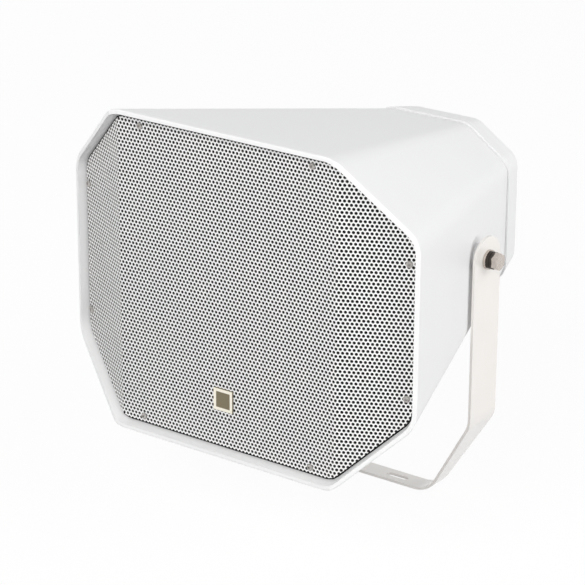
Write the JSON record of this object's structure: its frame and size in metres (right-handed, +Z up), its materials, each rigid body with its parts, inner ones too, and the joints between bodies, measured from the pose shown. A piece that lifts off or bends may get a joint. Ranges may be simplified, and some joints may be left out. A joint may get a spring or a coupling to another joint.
{
  "type": "horn speaker",
  "caption": "White flared eight-sided horn speaker with a folded perforated grille and a U mounting bracket on which the body tilts.",
  "frame": {"origin": "middle of the bracket's foot, on its underside", "axes": "+Z up, the mouth faces -Y, X along the two pivot bolts"},
  "size_m": [0.2846, 0.2941, 0.297],
  "materials": {
    "white_shell": "moulded weatherproof plastic, satin",
    "white_grille": "white powder coat",
    "white_bracket": "white powder coat",
    "screen_cloth": "black woven dust cloth",
    "bright_steel": "stainless",
    "spring_steel": "dark spring steel",
    "screw_steel": "white finished screws",
    "insert_brass": "turned",
    "gasket_rubber": "foam rubber",
    "frame_paint": "black paint on pressed steel",
    "pole_steel": "zinc plated",
    "ferrite": "sintered ferrite",
    "cone_paper": "treated cone paper",
    "surround_rubber": "rolled edge",
    "spider_cloth": "resin dipped cloth",
    "former_card": "wound card",
    "coil_copper": "enamelled copper wire",
    "board_brown": "phenolic board",
    "lead_skin": "insulated wire",
    "core_steel": "stacked laminations",
    "winding_tape": "copper winding under yellow tape",
    "clamp_steel": "zinc plated strip",
    "gland_plastic": "moulded nylon",
    "gland_rubber": "soft sealing bush"
  },
  "bodies": {
    "bracket": {"mounting_bracket": "white_bracket"},
    "speaker": {"horn_body": "white_shell", "rear_cover": "white_shell", "rear_cover_gasket": "gasket_rubber", "rear_cover_screws": "bright_steel", "front_grille": "white_grille", "dust_screen": "screen_cloth", "grille_screws": "screw_steel", "pivot_bolts": "bright_steel", "pivot_spring_washers": "spring_steel", "pivot_flat_washers": "bright_steel", "pivot_inserts": "insert_brass", "driver_gasket": "gasket_rubber", "driver_frame": "frame_paint", "driver_screws": "pole_steel", "driver_top_plate": "pole_steel", "driver_magnet": "ferrite", "driver_yoke": "pole_steel", "driver_surround": "surround_rubber", "driver_spider": "spider_cloth", "terminal_board": "board_brown", "terminal_lugs": "insert_brass", "driver_leads": "lead_skin", "transformer_core": "core_steel", "transformer_winding": "winding_tape", "transformer_clamp": "clamp_steel", "transformer_screws": "pole_steel", "gland_body": "gland_plastic", "gland_locknut": "gland_plastic", "gland_seal": "gland_rubber", "gland_nut": "gland_plastic"},
    "diaphragm": {"driver_cone": "cone_paper", "driver_dust_cap": "cone_paper", "coil_former": "former_card", "voice_coil": "coil_copper"}
  },
  "joints": [
    {"name": "tilt", "type": "hinge", "parent": "bracket", "child": "speaker", "pos_m": [0, 0, 0.185], "axis": [-1, 0, 0], "range_deg": [-8, 188]},
    {"name": "cone_travel", "type": "slide", "parent": "speaker", "child": "diaphragm", "axis": [0, -1, 0], "range_m": [-0.0025, 0.0025], "stiffness_N_per_m": 1500, "deforming": ["driver_surround", "driver_spider"]}
  ]
}
